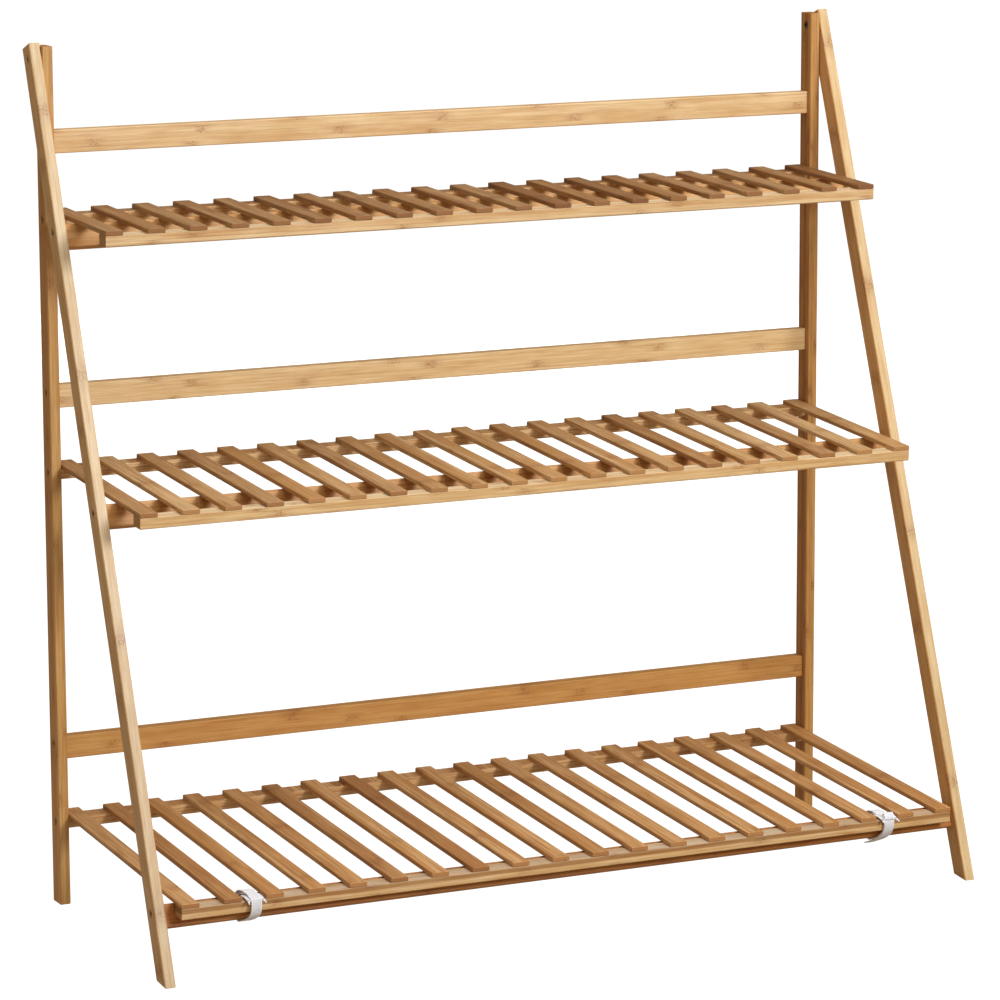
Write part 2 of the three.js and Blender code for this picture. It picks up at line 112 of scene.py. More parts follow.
class ShaderTree:
    """A new material, and short ways to add and link the nodes in it. A value is a
    number, a tuple or another node's output."""

    def __init__(self, name):
        self.material = bpy.data.materials.new(name)
        self.material.use_nodes = True
        self.nodes = self.material.node_tree.nodes
        self.links = self.material.node_tree.links
        self.nodes.clear()
        output = self.nodes.new("ShaderNodeOutputMaterial")
        self.shader = self.nodes.new("ShaderNodeBsdfPrincipled")
        self.links.new(self.shader.outputs[0], output.inputs["Surface"])

    def put(self, socket, value):
        if isinstance(value, bpy.types.NodeSocket):
            self.links.new(value, socket)
        else:
            socket.default_value = value

    def math(self, operation, *values):
        node = self.nodes.new("ShaderNodeMath")
        node.operation = operation
        for socket, value in zip(node.inputs, values):
            self.put(socket, value)
        return node.outputs[0]

    def add(self, first, second):
        return self.math("ADD", first, second)

    def subtract(self, first, second):
        return self.math("SUBTRACT", first, second)

    def multiply(self, first, second):
        return self.math("MULTIPLY", first, second)

    def divide(self, first, second):
        return self.math("DIVIDE", first, second)

    def rest(self, value):
        """What is left of 1."""
        return self.math("SUBTRACT", 1.0, value)

    def ramp(self, value, low, high):
        """0 at low, 1 at high, smooth between."""
        node = self.nodes.new("ShaderNodeMapRange")
        node.interpolation_type = "SMOOTHSTEP"
        for name, item in (("Value", value), ("From Min", low), ("From Max", high)):
            self.put(node.inputs[name], item)
        return node.outputs[0]

    def scaled(self, value, low, high, to_low, to_high):
        """to_low at low, to_high at high, straight between."""
        node = self.nodes.new("ShaderNodeMapRange")
        for name, item in (
            ("Value", value),
            ("From Min", low),
            ("From Max", high),
            ("To Min", to_low),
            ("To Max", to_high),
        ):
            self.put(node.inputs[name], item)
        return node.outputs[0]

    def coordinate(self, kind):
        return self.nodes.new("ShaderNodeTexCoord").outputs[kind]

    def vector(self, x, y, z):
        node = self.nodes.new("ShaderNodeCombineXYZ")
        for socket, value in zip(node.inputs, (x, y, z)):
            self.put(socket, value)
        return node.outputs[0]

    def split(self, vector):
        node = self.nodes.new("ShaderNodeSeparateXYZ")
        self.put(node.inputs[0], vector)
        return node.outputs

    def noise(self, vector, scale=1.0, detail=2.0, roughness=0.5):
        node = self.nodes.new("ShaderNodeTexNoise")
        self.put(node.inputs["Vector"], vector)
        node.inputs["Scale"].default_value = scale
        node.inputs["Detail"].default_value = detail
        node.inputs["Roughness"].default_value = roughness
        return node.outputs["Fac"]

    def random(self, value):
        node = self.nodes.new("ShaderNodeTexWhiteNoise")
        node.noise_dimensions = "1D"
        self.put(node.inputs["W"], value)
        return node.outputs["Value"]

    def mix(self, amount, first, second, blend="MIX"):
        node = self.nodes.new("ShaderNodeMix")
        node.data_type = "RGBA"
        node.blend_type = blend
        self.put(node.inputs[0], amount)
        self.put(node.inputs[6], first)
        self.put(node.inputs[7], second)
        return node.outputs[2]

    def times(self, amount, colour, tint):
        """The colour, multiplied by a tint where amount is 1."""
        return self.mix(amount, colour, tint + (1.0,), blend="MULTIPLY")

    def choose(self, amount, first, second):
        """The first number where amount is 0, the second where it is 1."""
        node = self.nodes.new("ShaderNodeMix")
        node.data_type = "FLOAT"
        self.put(node.inputs[0], amount)
        self.put(node.inputs[2], first)
        self.put(node.inputs[3], second)
        return node.outputs[0]

    def bump(self, height, strength, distance):
        node = self.nodes.new("ShaderNodeBump")
        node.inputs["Strength"].default_value = strength
        node.inputs["Distance"].default_value = distance
        self.put(node.inputs["Height"], height)
        return node.outputs[0]


def linear(red, green, blue):
    """A display colour, 0 to 255, as the renderer's linear colour."""
    def one(value):
        value /= 255
        return value / 12.92 if value <= 0.04045 else ((value + 0.055) / 1.055) ** 2.4
    return (one(red), one(green), one(blue), 1.0)


def position(tree):
    return tree.split(tree.coordinate("Object"))


def toward(tree, x, y, z):
    """1 where a face looks in a direction of the part, -1 where it looks away."""
    normal_x, normal_y, normal_z = tree.split(tree.coordinate("Normal"))
    level = tree.add(tree.multiply(normal_x, x), tree.multiply(normal_y, y))
    return tree.add(level, tree.multiply(normal_z, z))


def facing_along(x, y, z):
    """How squarely a face looks along a direction, either way."""
    def measure(tree):
        return tree.math("ABSOLUTE", toward(tree, x, y, z))
    return measure


# ---- bamboo ------------------------------------------------------------

PLAIN = (1.0, 1.0, 1.0)
LIGHT = linear(231, 192, 139)
MID = linear(206, 154, 93)
DARK = linear(148, 94, 46)
LINE = linear(170, 114, 60)
SPECK = linear(160, 96, 40)
END = linear(192, 142, 86)
DARK_SLAT_TINT = (0.7, 0.59, 0.5)

# Length along the grain and width across it of each pattern's features, in metres.
FIBRE_SIZE = (0.030, 0.0007)
STREAK_SIZE = (0.11, 0.0032)
LINE_SIZE = (0.10, 0.0019)
PATCH_SIZE = (0.05, 0.012)
RAGGED_SIZE = (0.006, 0.004)
SPECK_SIZE = (0.0023, 0.0015)
END_DOT_SIZE = (1.0, 0.0005)

# Between which values of its noise a pattern fades in.
MOTTLE_LIMITS = (0.3, 0.85)
FIBRE_LIMITS = (0.48, 0.78)
LINE_LIMITS = (0.44, 0.66)
SPECK_LIMITS = (0.42, 0.62)
END_DOT_LIMITS = (0.4, 0.7)
DARK_SLAT_LIMITS = (0.55, 1.15)

# How strongly each pattern shows, where 1 is in full.
STREAK_SHARE = 0.6
PATCH_SHARE = 0.5
FIBRE_STRENGTH = 0.4
HALO_STRENGTH = 0.16
SPECK_STRENGTH = 0.7
GLUE_STRENGTH = 0.28
END_DOT_STRENGTH = 0.6

KNUCKLE_GAP = 0.29  # metres from one knuckle of a lamella to the next
KNUCKLE_SPREAD = 5.0  # gaps by which the lamellas are shifted at most
KNUCKLE_RAGGED = 0.012  # metres by which a knuckle's band wanders
KNUCKLE_REACH = (0.001, 0.011)  # metres from its middle, where its specks thin out
HALO_REACH = (0.004, 0.022)
GLUE_LINE = 0.0004  # metres, half its width
LAYER_SHARE = 1.6  # a lamella's thickness, as a share of its width
LAMELLA_START = 0.5  # metres, so that lamellas are counted from outside the part

# Factors that keep the random numbers of pieces, layers and materials apart.
PIECE_SHIFT = 3.7  # metres
LAYER_STEP = 7.13
PIECE_STEP = 31.7
SEED_STEP = 1.7
DARK_SLAT_STEP = 5.31
DARK_SLAT_SEED_STEP = 0.37

END_FACING = (0.6, 0.85)  # how squarely a face looks along the grain to show its end
# how squarely a face looks along a direction to take its painted light
PAINTED_LIGHT_FACING = (0.7, 0.9)
FOOT_SHADE_REACH = (0.1, 0.45)  # metres up the leg, over which the painted shade at the foot fades

FIBRE_RANGE = (0.3, 0.7)  # of the noise, over which the varnish gets rougher
VARNISH_ROUGHNESS = (0.42, 0.56)
VARNISH_LEVEL = 0.5
COAT_WEIGHT = 0.12
COAT_ROUGHNESS = 0.28
END_ROUGHNESS = 0.75
FIBRE_RELIEF = 0.7
SPECK_RELIEF = -0.4


def bamboo(name, seed, coordinates, facing, strip, tint=PLAIN, uneven=0.5, slat_tint=None,
           face=None, upper=None, lines=0.5, foot=None, gloss=1.0):
    """Laminated bamboo. coordinates gives along, across and through the grain in metres
    and a number for the slat, facing how far a face looks along the grain, strip the
    width of one lamella, and uneven how much one lamella differs from the next. face is
    the direction of the faces that get painted light, a tint that lightens or darkens them
    for how light falls on them, upper a height above which the other faces have another
    lamella's tint, and foot the painted shade that darkens the cane towards its lower end.
    lines and gloss are the strength of the fine dark lines and of the varnish."""
    tree = ShaderTree(name)

    def tinted(colour):
        return tuple(part * share for part, share in zip(colour, tint)) + (1.0,)

    def stained(ground, pattern, limits, strength, colour):
        """The ground with a colour on it where the pattern is high."""
        amount = tree.multiply(tree.ramp(pattern, *limits), strength)
        return tree.mix(amount, ground, tinted(colour))

    height, across, through, piece = coordinates(tree)
    end = tree.ramp(facing(tree), *END_FACING)
    shift = tree.multiply(tree.random(tree.add(piece, seed)), PIECE_SHIFT)
    along = tree.add(height, shift)

    def grain_point(size):
        """The point, in units of a length along the grain and a width across it."""
        length, width = size
        return tree.vector(
            tree.divide(along, length),
            tree.divide(across, width),
            tree.divide(through, width),
        )

    beside = tree.divide(tree.add(across, LAMELLA_START), strip)
    inward = tree.divide(tree.add(through, LAMELLA_START), strip * LAYER_SHARE)
    row = tree.math("FLOOR", beside)
    layer = tree.multiply(tree.math("FLOOR", inward), LAYER_STEP)
    lamella = tree.add(tree.add(row, layer), tree.multiply(piece, PIECE_STEP))
    shade = tree.random(tree.add(lamella, seed * SEED_STEP))

    fibre = tree.noise(grain_point(FIBRE_SIZE), detail=3.0, roughness=0.65)
    streak = tree.noise(grain_point(STREAK_SIZE), detail=3.0, roughness=0.6)
    line = tree.noise(grain_point(LINE_SIZE), detail=3.0, roughness=0.7)
    patch = tree.noise(grain_point(PATCH_SIZE))

    mottle = tree.add(tree.multiply(streak, STREAK_SHARE), tree.multiply(patch, PATCH_SHARE))
    mottle = tree.add(mottle, tree.multiply(tree.subtract(shade, 0.5), uneven))
    base = tree.mix(tree.ramp(mottle, *MOTTLE_LIMITS), tinted(LIGHT), tinted(MID))
    base = stained(base, fibre, FIBRE_LIMITS, FIBRE_STRENGTH, DARK)
    base = stained(base, line, LINE_LIMITS, lines, LINE)

    # knuckles: specks crowded into a ragged band across each lamella
    place = tree.add(tree.divide(along, KNUCKLE_GAP), tree.multiply(shade, KNUCKLE_SPREAD))
    off = tree.multiply(tree.subtract(tree.math("FRACT", place), 0.5), KNUCKLE_GAP)
    ragged = tree.subtract(tree.noise(grain_point(RAGGED_SIZE)), 0.5)
    distance = tree.math("ABSOLUTE", tree.add(off, tree.multiply(ragged, KNUCKLE_RAGGED)))
    crowd = tree.rest(tree.ramp(distance, *KNUCKLE_REACH))
    halo = tree.rest(tree.ramp(distance, *HALO_REACH))
    speck = tree.noise(grain_point(SPECK_SIZE), roughness=0.7)
    specks = tree.multiply(tree.ramp(speck, *SPECK_LIMITS), crowd)
    base = tree.mix(tree.multiply(halo, HALO_STRENGTH), base, tinted(DARK))
    base = tree.mix(tree.multiply(specks, SPECK_STRENGTH), base, tinted(SPECK))

    # the glue line between two lamellas, half a lamella from the middle of each
    edge = tree.math("ABSOLUTE", tree.subtract(tree.math("FRACT", beside), 0.5))
    base = stained(base, edge, (0.5 - GLUE_LINE / strip, 0.5), GLUE_STRENGTH, DARK)

    # end grain: dark dots of fibre in a paler ground
    dots = tree.noise(grain_point(END_DOT_SIZE), detail=1.0)
    ends = stained(tinted(END), dots, END_DOT_LIMITS, END_DOT_STRENGTH, DARK)
    base = tree.mix(end, base, ends)

    # painted shade: the leg darker towards its foot, where the light on it falls off
    if foot:
        painted_foot_shade = tree.rest(tree.ramp(height, *FOOT_SHADE_REACH))
        base = tree.times(painted_foot_shade, base, foot)
    # painted light: faces looking along the given direction get a tint for how light falls on them
    if face:
        direction, painted_light_tint = face
        painted_light_faces = tree.ramp(toward(tree, *direction), *PAINTED_LIGHT_FACING)
        if upper:
            level, upper_tint = upper
            is_above = tree.math("GREATER_THAN", across, level)
            above = tree.multiply(is_above, tree.rest(painted_light_faces))
            base = tree.times(above, base, upper_tint)
        base = tree.times(painted_light_faces, base, painted_light_tint)
    if slat_tint:
        is_slat = tree.math("GREATER_THAN", piece, 0.5)
        base = tree.times(is_slat, base, slat_tint)
        chance = tree.random(tree.multiply(piece, DARK_SLAT_STEP + seed * DARK_SLAT_SEED_STEP))
        darker = tree.multiply(tree.ramp(chance, *DARK_SLAT_LIMITS), is_slat)
        base = tree.times(darker, base, DARK_SLAT_TINT)

    relief = tree.add(tree.multiply(fibre, FIBRE_RELIEF), tree.multiply(specks, SPECK_RELIEF))
    roughness = tree.scaled(fibre, *FIBRE_RANGE, *VARNISH_ROUGHNESS)
    tree.put(tree.shader.inputs["Base Color"], base)
    tree.put(tree.shader.inputs["Roughness"], tree.choose(end, roughness, END_ROUGHNESS))
    tree.put(tree.shader.inputs["Normal"], tree.bump(relief, strength=0.25, distance=0.0003))
    tree.shader.inputs["Specular IOR Level"].default_value = VARNISH_LEVEL * gloss
    tree.shader.inputs["Coat Weight"].default_value = COAT_WEIGHT * gloss
    tree.shader.inputs["Coat Roughness"].default_value = COAT_ROUGHNESS
    return tree.material


# ---- how the grain runs in each piece ----------------------------------

def grain_x(tree):
    x, y, z = position(tree)
    return x, z, y, 0.0


def grain_z(tree):
    x, y, z = position(tree)
    return z, y, x, 0.0


def leaning(tree):
    """The distance across the stand, up along the legs and back from their line."""
    x, y, z = position(tree)
    along = tree.add(tree.multiply(y, LEAN_SINE), tree.multiply(z, LEAN_COSINE))
    behind = tree.subtract(tree.multiply(y, LEAN_COSINE), tree.multiply(z, LEAN_SINE))
    return x, along, behind


def grain_leg(tree):
    x, along, behind = leaning(tree)
    return along, behind, x, 0.0


def grain_cross(tree):
    x, along, behind = leaning(tree)
    return x, along, behind, 0.0


def shelf_axes(tree, shelf):
    """The distance across the stand, back along a shelf's slats and up from them."""
    x, y, z = position(tree)
    sine, cosine = math.sin(SHELF_DIP[shelf]), math.cos(SHELF_DIP[shelf])
    back = tree.add(tree.multiply(y, cosine), tree.multiply(z, sine))
    up = tree.subtract(tree.multiply(z, cosine), tree.multiply(y, sine))
    return x, back, up


def deck_parts(shelf):
    """Slats run front to back, and the batten under them runs across."""
    sine, cosine = math.sin(SHELF_DIP[shelf]), math.cos(SHELF_DIP[shelf])
    low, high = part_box(f"shelf_deck_{shelf}")
    slat_underside = high.z * cosine - high.y * sine - SLAT_THICKNESS
    margin = 0.0002

    def is_slat(tree):
        up = shelf_axes(tree, shelf)[2]
        return tree.math("GREATER_THAN", up, slat_underside - margin)

    def coordinates(tree):
        x, back, up = shelf_axes(tree, shelf)
        slat = is_slat(tree)
        from_end = tree.add(x, HALF_SHELF + SLAT_GAP / 2)
        number = tree.add(tree.math("FLOOR", tree.divide(from_end, SLAT_PITCH)), 1.0)
        return (
            tree.choose(slat, x, back),
            tree.choose(slat, up, x),
            tree.choose(slat, back, up),
            tree.multiply(slat, number),
        )

    def facing(tree):
        normal_x, normal_y, normal_z = tree.split(tree.coordinate("Normal"))
        along_slat = tree.add(tree.multiply(normal_y, cosine), tree.multiply(normal_z, sine))
        return tree.math("ABSOLUTE", tree.choose(is_slat(tree), normal_x, along_slat))

    return coordinates, facing


# ---- wood on each piece ------------------------------------------------

# Widths of the lamellas, in metres. A leg and a slat show one lamella on their faces.
POST_LAMELLA = 0.0062
LEG_LAMELLA = 0.025
RAIL_LAMELLA = 0.0085
SLAT_LAMELLA = 0.0205

# The first seed of each kind of piece. The next piece of the kind takes the next one.
POST_SEED = 3
LEG_SEED = 11
BACK_RAIL_SEED = 21
CROSS_RAIL_SEED = 31
BATTEN_SEED = 41
DECK_SEED = 51
DOWEL_SEED = 71

# The right post's tint is darker than the left's as painted shade, for its shaded inner face and its
# front under the top shelf.
POST_TINTS = {"left": (0.78, 0.65, 0.45), "right": (0.62, 0.46, 0.255)}
# Painted light on the posts' front faces: paler and brighter where the key light falls on them.
POST_FRONT_PAINTED_LIGHT = {"left": (0.96, 1.13, 1.22), "right": (1.02, 1.12, 1.14)}
LEG_TINTS = {"left": (1.02, 1.12, 1.26), "right": (0.9, 0.86, 0.77)}
# Painted shade at the legs' feet: darker towards the floor, where the light on each leg falls off.
LEG_FOOT_PAINTED_SHADE = {"left": (0.82, 0.76, 0.66), "right": (0.9, 0.89, 0.84)}
# Painted sheen on the legs' leaning front faces: paler and bluer, as if they mirrored the lights
# above; dimmer on the left leg.
LEG_FRONT_PAINTED_SHEEN = {"left": (0.8, 0.91, 1.05), "right": (0.96, 1.22, 1.6)}
RAIL_TINTS = {"top": (0.89, 1.0, 1.1), "middle": (0.91, 1.02, 1.09), "bottom": (0.71, 0.59, 0.35)}
# The cross rails' tints are painted shade: darkened for the shelves that shade them, the bottom one
# darkest, in the batten's shadow.
CROSS_RAIL_PAINTED_SHADE = {"top": (0.84, 0.78, 0.68), "middle": (0.72, 0.6, 0.45), "bottom": (0.52, 0.33, 0.14)}
BATTEN_TINTS = {"top": (0.87, 0.96, 1.06), "middle": (0.88, 0.95, 0.97), "bottom": (0.94, 1.1, 1.32)}
# Painted light on the battens' top faces: brighter and paler, as if lit from above.
BATTEN_TOP_PAINTED_LIGHT = {"top": (1.22, 1.4, 1.7), "middle": (1.22, 1.4, 1.8), "bottom": (0.88, 0.95, 1.2)}
UPPER_LAMELLA_TINT = (0.6, 0.47, 0.34)
DECK_TINTS = {"top": (0.94, 1.0, 1.08), "middle": (0.97, 1.05, 1.15), "bottom": (0.87, 0.86, 0.85)}
SLAT_TINTS = {"top": (0.57, 0.48, 0.39), "middle": (0.86, 0.8, 0.71), "bottom": (0.94, 0.88, 0.79)}
TOP_FACE = (0, 0, 1)
POST_FRONT = (0, -1, 0)
LEG_FRONT = (0, -LEAN_COSINE, LEAN_SINE)


def finish_node(name, material):
    data = cad_nodes[name].data
    data.materials.clear()
    data.materials.append(material)


def finish_upright_pieces():
    for index, hand in enumerate(("left", "right")):
        post = bamboo(
            f"post_bamboo_{hand}", POST_SEED + index, grain_z,
            facing_along(0, 0, 1), POST_LAMELLA,
            tint=POST_TINTS[hand], uneven=0.7, face=(POST_FRONT, POST_FRONT_PAINTED_LIGHT[hand]),
        )
        leg = bamboo(
            f"leg_bamboo_{hand}", LEG_SEED + index, grain_leg,
            facing_along(0, LEAN_SINE, LEAN_COSINE), LEG_LAMELLA,
            tint=LEG_TINTS[hand], uneven=0.15, face=(LEG_FRONT, LEG_FRONT_PAINTED_SHEEN[hand]),
            lines=0.25, foot=LEG_FOOT_PAINTED_SHADE[hand],
        )
        finish_node(f"rear_post_{hand}", post)
        finish_node(f"front_leg_{hand}", leg)


def finish_level_pieces():
    across = facing_along(1, 0, 0)
    for index, shelf in enumerate(("top", "middle", "bottom")):
        upper = None
        if shelf == "bottom":
            low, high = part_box("shelf_batten_bottom")
            upper = ((low.z + high.z) / 2, UPPER_LAMELLA_TINT)
        back_rail = bamboo(
            f"back_rail_bamboo_{shelf}", BACK_RAIL_SEED + index, grain_x, across, RAIL_LAMELLA,
            tint=RAIL_TINTS[shelf], uneven=0.12, lines=0.3,
        )
        cross_rail = bamboo(
            f"cross_rail_bamboo_{shelf}", CROSS_RAIL_SEED + index, grain_cross, across, RAIL_LAMELLA,
            tint=CROSS_RAIL_PAINTED_SHADE[shelf], gloss=0.4,
        )
        batten = bamboo(
            f"batten_bamboo_{shelf}", BATTEN_SEED + index, grain_x, across, POST_LAMELLA,
            tint=BATTEN_TINTS[shelf], uneven=0.3, face=(TOP_FACE, BATTEN_TOP_PAINTED_LIGHT[shelf]),
            upper=upper,
        )
        coordinates, facing = deck_parts(shelf)
        deck = bamboo(
            f"deck_bamboo_{shelf}", DECK_SEED + index, coordinates, facing, SLAT_LAMELLA,
            tint=DECK_TINTS[shelf], slat_tint=SLAT_TINTS[shelf], lines=0.85,
        )
        finish_node(f"back_rail_{shelf}", back_rail)
        finish_node(f"cross_rail_{shelf}", cross_rail)
        finish_node(f"shelf_batten_{shelf}", batten)
        finish_node(f"shelf_deck_{shelf}", deck)


finish_upright_pieces()
finish_level_pieces()


# ---- eased edges of the wood -------------------------------------------

WOOD = ("rear_post", "front_leg", "back_rail", "cross_rail", "shelf_batten", "shelf_deck")
SHARED_CORNER = 0.00001
EASED_EDGE = 0.0005
EASED_SEGMENTS = 2
EASED_ANGLE = math.radians(50)


def ease_edges(node):
    """Join the faces at their corners, and then round the sharp edges."""
    weld = node.modifiers.new("shared_corners", "WELD")
    weld.merge_threshold = SHARED_CORNER
    eased = node.modifiers.new("eased_edges", "BEVEL")
    eased.width = EASED_EDGE
    eased.segments = EASED_SEGMENTS
    eased.limit_method = "ANGLE"
    eased.angle_limit = EASED_ANGLE


for name in cad_nodes:
    is_fastener = "_bolt_" in name or "_dowel_" in name
    if name.startswith(WOOD) and not is_fastener:
        ease_edges(cad_nodes[name])


# ---- steel and dowels --------------------------------------------------

DOWEL_LAMELLA = 0.02  # wider than a dowel, so that one shows


def steel(name, worn, bright):
    """Metal whose colour and polish wander between worn and bright."""
    tree = ShaderTree(name)
    wear = tree.noise(tree.coordinate("Object"), scale=900.0, detail=3.0)
    roughness = tree.scaled(wear, low=0.3, high=0.7, to_low=0.24, to_high=0.42)
    tree.put(tree.shader.inputs["Base Color"], tree.mix(wear, worn, bright))
    tree.put(tree.shader.inputs["Roughness"], roughness)
    tree.put(tree.shader.inputs["Normal"], tree.bump(wear, strength=0.1, distance=0.0001))
    tree.shader.inputs["Metallic"].default_value = 1.0
    return tree.material


# The fastener steel's warm colour is a painted reflection of the bamboo around it; its wander
# between worn and bright is wear.
fastener_steel = steel("steel_painted_warm_reflection", linear(182, 158, 130), linear(214, 194, 168))
dowel_wood = bamboo("dowel_wood", DOWEL_SEED, grain_x, facing_along(1, 0, 0), DOWEL_LAMELLA)
dark_steel = steel("dark_steel", linear(84, 76, 68), linear(136, 126, 116))
for name in cad_nodes:
    if "_nut_" in name:
        finish_node(name, dark_steel)
    elif "_bolt_" in name:
        finish_node(name, fastener_steel)
    elif "_dowel_" in name:
        finish_node(name, dowel_wood)


# ---- floor and light ---------------------------------------------------

FLOOR_HALF = 30.0
WHITE = (1, 1, 1)
COOL_WHITE = (0.95, 1.0, 1.1)
SKY_WHITE = (0.85, 1.0, 1.25)
DIM_WARM = (0.30, 0.22, 0.14, 1)


def add_floor():
    """A pale floor that glows, so that it is white and takes no shadow."""
    corners = [
        (-FLOOR_HALF, -FLOOR_HALF, 0),
        (FLOOR_HALF, -FLOOR_HALF, 0),
        (FLOOR_HALF, FLOOR_HALF, 0),
        (-FLOOR_HALF, FLOOR_HALF, 0),
    ]
    mesh = bpy.data.meshes.new("floor")
    mesh.from_pydata(corners, [], [(0, 1, 2, 3)])
    floor = bpy.data.objects.new("floor", mesh)
    scene.collection.objects.link(floor)
    tree = ShaderTree("floor_paint")
    cloud = tree.noise(tree.coordinate("Object"), scale=3.0)
    grey = tree.mix(cloud, linear(112, 112, 112), linear(120, 120, 120))
    tree.put(tree.shader.inputs["Base Color"], grey)
    tree.shader.inputs["Roughness"].default_value = 0.9
    tree.shader.inputs["Specular IOR Level"].default_value = 0.0
    tree.shader.inputs["Emission Color"].default_value = (1, 1, 1, 1)
    tree.shader.inputs["Emission Strength"].default_value = 1.0
    mesh.materials.append(tree.material)
    floor.visible_diffuse = False
    floor.visible_glossy = False


def add_light(name, place, target, size, power, colour=WHITE, seen=True, gloss=True):
    data = bpy.data.lights.new(name, "AREA")
    data.shape = "RECTANGLE"
    data.size, data.size_y = size
    data.energy = power
    data.color = colour
    light = bpy.data.objects.new(name, data)
    light.location = place
    aim = Vector(target) - Vector(place)
    light.rotation_euler = aim.to_track_quat("-Z", "Y").to_euler()
    light.visible_camera = seen
    light.visible_glossy = gloss
    scene.collection.objects.link(light)


def add_world():
    """White where the camera sees it, and a dim warm fill for everything else."""
    world = bpy.data.worlds.new("studio")
    scene.world = world
    world.use_nodes = True
    tree = world.node_tree
    background = tree.nodes["Background"]
    path = tree.nodes.new("ShaderNodeLightPath")
    mixer = tree.nodes.new("ShaderNodeMix")
    mixer.data_type = "RGBA"
    mixer.inputs[6].default_value = DIM_WARM
    mixer.inputs[7].default_value = (1, 1, 1, 1)
    tree.links.new(path.outputs["Is Camera Ray"], mixer.inputs[0])
    tree.links.new(mixer.outputs[2], background.inputs["Color"])


scene.view_settings.view_transform = "Standard"
add_floor()
add_world()
add_light("key", place=(1.2, -3.6, 2.2), target=(0, 0, 0.75), size=(1.2, 1.2), power=122)
add_light("front_fill", place=(-1.2, -5.0, 1.2), target=(0, 0, 0.5), size=(2.5, 2.0), power=25)
add_light("top_fill", place=(0.2, -0.6, 3.2), target=(0, 0, 0.6), size=(3.0, 2.0), power=52,
          colour=COOL_WHITE)
add_light("back_fill", place=(1.7, 4.2, 0.6), target=(0, 0, 0.5), size=(1.6, 1.0), power=70,
          seen=False, gloss=False)
add_light("right_fill", place=(4.0, 0.3, 0.8), target=(0, 0, 0.5), size=(2.0, 1.0), power=50,
          seen=False, gloss=False)
add_light("low_fill", place=(-0.9, -2.6, 0.25), target=(0, 0, 0.1), size=(1.6, 0.4), power=6,
          colour=COOL_WHITE, seen=False)
add_light("side_fill", place=(-0.86, 0, 0.06), target=(-0.49, 0, 0.06), size=(0.6, 0.1), power=0.2,
          colour=SKY_WHITE, seen=False)


# ---- straps ------------------------------------------------------------

REAR_FACE = 0.1867229  # metres, of the posts, from which the points below are measured
STRAP_X = HALF_SHELF - SLAT_PITCH - SLAT_WIDTH - SLAT_GAP / 2

# The straps' own sizes and points are millimetres, of which a metre has this many.
MILLIMETRES = 1000
BAND = 6.0  # half the width of the strap
HEAD = 10.0  # half the width of its head plate
SLOT = 6.6  # half the width of the slot that the strap runs through
HEAD_TAPER = 1.2
EAR_INSETS = (0.0, 1.1, 2.6)
TAIL_HALF_WIDTHS = (6.0, 5.8, 3.4)

# Half the thickness of the strap between its selvedges, on them and at its very edge.
WEB_HALF = 0.52
SELVEDGE_HALF = 0.7
EDGE_HALF = 0.2
SELVEDGE_WIDTH = 0.9
SELVEDGE_CREST = 0.35  # of its width, from the edge
CURVE_STEPS = 4

# Points of the Y-Z plane, forward of the posts' rear faces and up.
LEFT_BAND = [
    (370.4, 80.6), (370.6, 76.5), (370.0, 71.5), (367.6, 66.3), (362.6, 61.6), (355.5, 57.8),
    (348.0, 54.6), (340.0, 51.6), (333.0, 49.3), (327.6, 49.6), (324.6, 54.0), (323.0, 62.0),
    (321.9, 70.0), (322.9, 76.2), (327.2, 80.6), (333.6, 83.4), (341.5, 85.0), (350.5, 85.5),
    (358.5, 84.7), (365.5, 82.8), (370.6, 80.9),
]
RIGHT_BAND = [
    (349.0, 82.6), (341.0, 83.4), (333.0, 82.8), (326.0, 80.2), (322.4, 75.0), (322.4, 66.0),
    (324.4, 56.0), (328.0, 50.6), (333.4, 49.7), (340.5, 52.3), (348.8, 55.6), (357.0, 60.4),
    (363.8, 65.6), (366.2, 70.6), (366.6, 76.0), (366.0, 81.0), (364.6, 84.6), (363.6, 86.6),
    (365.2, 87.2), (367.2, 84.8), (368.6, 80.5), (368.9, 75.8), (367.8, 70.6), (364.4, 64.8),
    (357.6, 59.0), (349.2, 54.2), (340.0, 50.2), (331.0, 46.6), (323.0, 43.5), (318.6, 41.9),
]
HEAD_PLATE = [(347.5, 81.4), (352.5, 82.2), (358.5, 82.4), (364.0, 81.8), (369.4, 80.2)]
EAR = [(367.5, 80.9), (371.0, 79.6), (374.6, 78.4)]

# For the webbing's painted highlight along its edges, metres beside the strap's middle:
# where it starts and ends on the strap, and where it starts on the head plate.
EDGE_HIGHLIGHT_START = (0.0049, 0.0054)
EDGE_HIGHLIGHT_END = (0.0062, 0.0064)
HEAD_EDGE_HIGHLIGHT_START = (0.0088, 0.0094)
EDGE_HIGHLIGHT_STRENGTH = 0.85
THREADS_ACROSS = 1600.0  # a metre
THREADS_ALONG = 1100.0


def curve_point(points, share):
    """A tuple between the second and third of four, on a smooth curve through them."""
    return tuple(
        0.5 * (2 * b + (c - a) * share + (2 * a - 5 * b + 4 * c - d) * share * share
               + (3 * b - a - 3 * c + d) * share ** 3)
        for a, b, c, d in zip(*points)
    )


def along_curve(values):
    """A smooth run of tuples through the given ones."""
    last = len(values) - 1
    run = []
    for i in range(last):
        near = [values[max(0, min(last, j))] for j in (i - 1, i, i + 1, i + 2)]
        for k in range(CURVE_STEPS):
            run.append(curve_point(near, k / CURVE_STEPS))
    run.append(tuple(map(float, values[-1])))
    return run


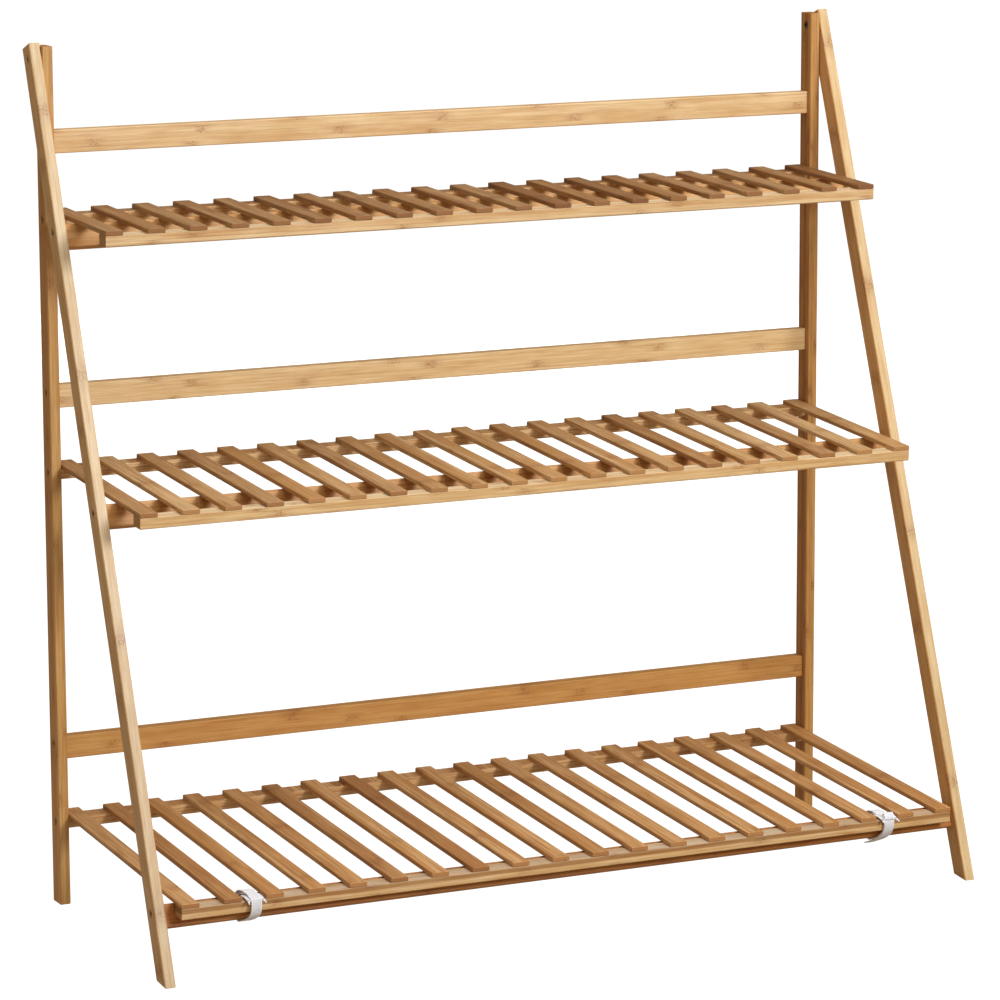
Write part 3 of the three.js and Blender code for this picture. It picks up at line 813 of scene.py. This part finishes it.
def ribbon_section(left, right):
    """The outline across a strip, with a thicker selvedge along both edges."""
    width = min(SELVEDGE_WIDTH, (right - left) / 4)
    crest = width * SELVEDGE_CREST
    upper = [
        (left, EDGE_HALF),
        (left + crest, SELVEDGE_HALF),
        (left + width, WEB_HALF),
        (right - width, WEB_HALF),
        (right - crest, SELVEDGE_HALF),
        (right, EDGE_HALF),
    ]
    return upper + [(side, -half) for side, half in reversed(upper)]


def add_ribbon(mesh, x, points, edges):
    """A flat woven strip. points run in the Y-Z plane, and edges holds where the strip's
    two sides lie beside x, for each point."""
    verts, faces = mesh
    run = along_curve([(*point, *edge) for point, edge in zip(points, edges)])
    first = len(verts)
    for i, (forward, up, left, right) in enumerate(run):
        before = run[max(0, i - 1)]
        after = run[min(len(run) - 1, i + 1)]
        tangent = Vector((after[0] - before[0], after[1] - before[1])).normalized()
        normal = Vector((-tangent.y, tangent.x))
        section = ribbon_section(left, right)
        for side, half in section:
            spot = Vector((forward, up)) + normal * half
            verts.append((
                x + side / MILLIMETRES,
                REAR_FACE - spot.x / MILLIMETRES,
                spot.y / MILLIMETRES,
            ))
    size = len(section)
    for i in range(len(run) - 1):
        for j in range(size):
            a = first + i * size + j
            b = first + i * size + (j + 1) % size
            faces.append((a, b, b + size, a + size))
    faces.append(tuple(first + j for j in reversed(range(size))))
    faces.append(tuple(len(verts) - size + j for j in range(size)))


def webbing_material():
    """Pale woven webbing, with a painted highlight along both edges."""
    tree = ShaderTree("strap_webbing")
    x, y, z = position(tree)
    thread = tree.vector(
        tree.multiply(x, THREADS_ACROSS),
        tree.multiply(y, THREADS_ALONG),
        tree.multiply(z, THREADS_ALONG),
    )
    weave = tree.noise(thread, roughness=0.7)
    cloth = tree.mix(weave, linear(202, 206, 216), linear(230, 234, 243))

    # painted highlight: a paler band along the strap's edges and along the head plate's
    beside = tree.math("ABSOLUTE", tree.subtract(tree.math("ABSOLUTE", x), STRAP_X))
    on_band = tree.multiply(
        tree.ramp(beside, *EDGE_HIGHLIGHT_START),
        tree.rest(tree.ramp(beside, *EDGE_HIGHLIGHT_END)),
    )
    edge_highlight = tree.math("MAXIMUM", on_band, tree.ramp(beside, *HEAD_EDGE_HIGHLIGHT_START))
    amount = tree.multiply(edge_highlight, EDGE_HIGHLIGHT_STRENGTH)
    base = tree.mix(amount, cloth, linear(246, 246, 250))

    tree.put(tree.shader.inputs["Base Color"], base)
    tree.put(tree.shader.inputs["Normal"], tree.bump(weave, strength=0.4, distance=0.0003))
    tree.shader.inputs["Roughness"].default_value = 0.85
    tree.shader.inputs["Sheen Weight"].default_value = 0.4
    tree.shader.inputs["Subsurface Weight"].default_value = 0.7
    tree.shader.inputs["Subsurface Radius"].default_value = (1, 1, 1)
    tree.shader.inputs["Subsurface Scale"].default_value = 0.003
    return tree.material


def add_strap(hand, x, band, edges):
    """One strap with its head plate and the two ears beside the plate's slot."""
    head_edges = [(-HEAD + HEAD_TAPER, HEAD - HEAD_TAPER)] + [(-HEAD, HEAD)] * (len(HEAD_PLATE) - 1)
    mesh = ([], [])
    add_ribbon(mesh, x, band, edges)
    add_ribbon(mesh, x, HEAD_PLATE, head_edges)
    add_ribbon(mesh, x, EAR, [(-HEAD, -SLOT - inset) for inset in EAR_INSETS])
    add_ribbon(mesh, x, EAR, [(SLOT + inset, HEAD) for inset in EAR_INSETS])
    data = bpy.data.meshes.new(f"webbing_strap_{hand}")
    data.from_pydata(mesh[0], [], mesh[1])
    data.polygons.foreach_set("use_smooth", [len(face) == 4 for face in mesh[1]])
    data.update()
    data.materials.append(webbing)
    strap = bpy.data.objects.new(f"webbing_strap_{hand}", data)
    scene.collection.objects.link(strap)
    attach(strap, "bottom_shelf")
    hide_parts(f"shelf_strap_{hand}")
    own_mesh(strap)


webbing = webbing_material()
finish_node("shelf_strap_left", webbing)
finish_node("shelf_strap_right", webbing)
full_width = [(-BAND, BAND)]
tail = [(-half, half) for half in TAIL_HALF_WIDTHS]
add_strap("left", -STRAP_X, LEFT_BAND, full_width * len(LEFT_BAND))
add_strap("right", STRAP_X, RIGHT_BAND, full_width * (len(RIGHT_BAND) - len(tail)) + tail)
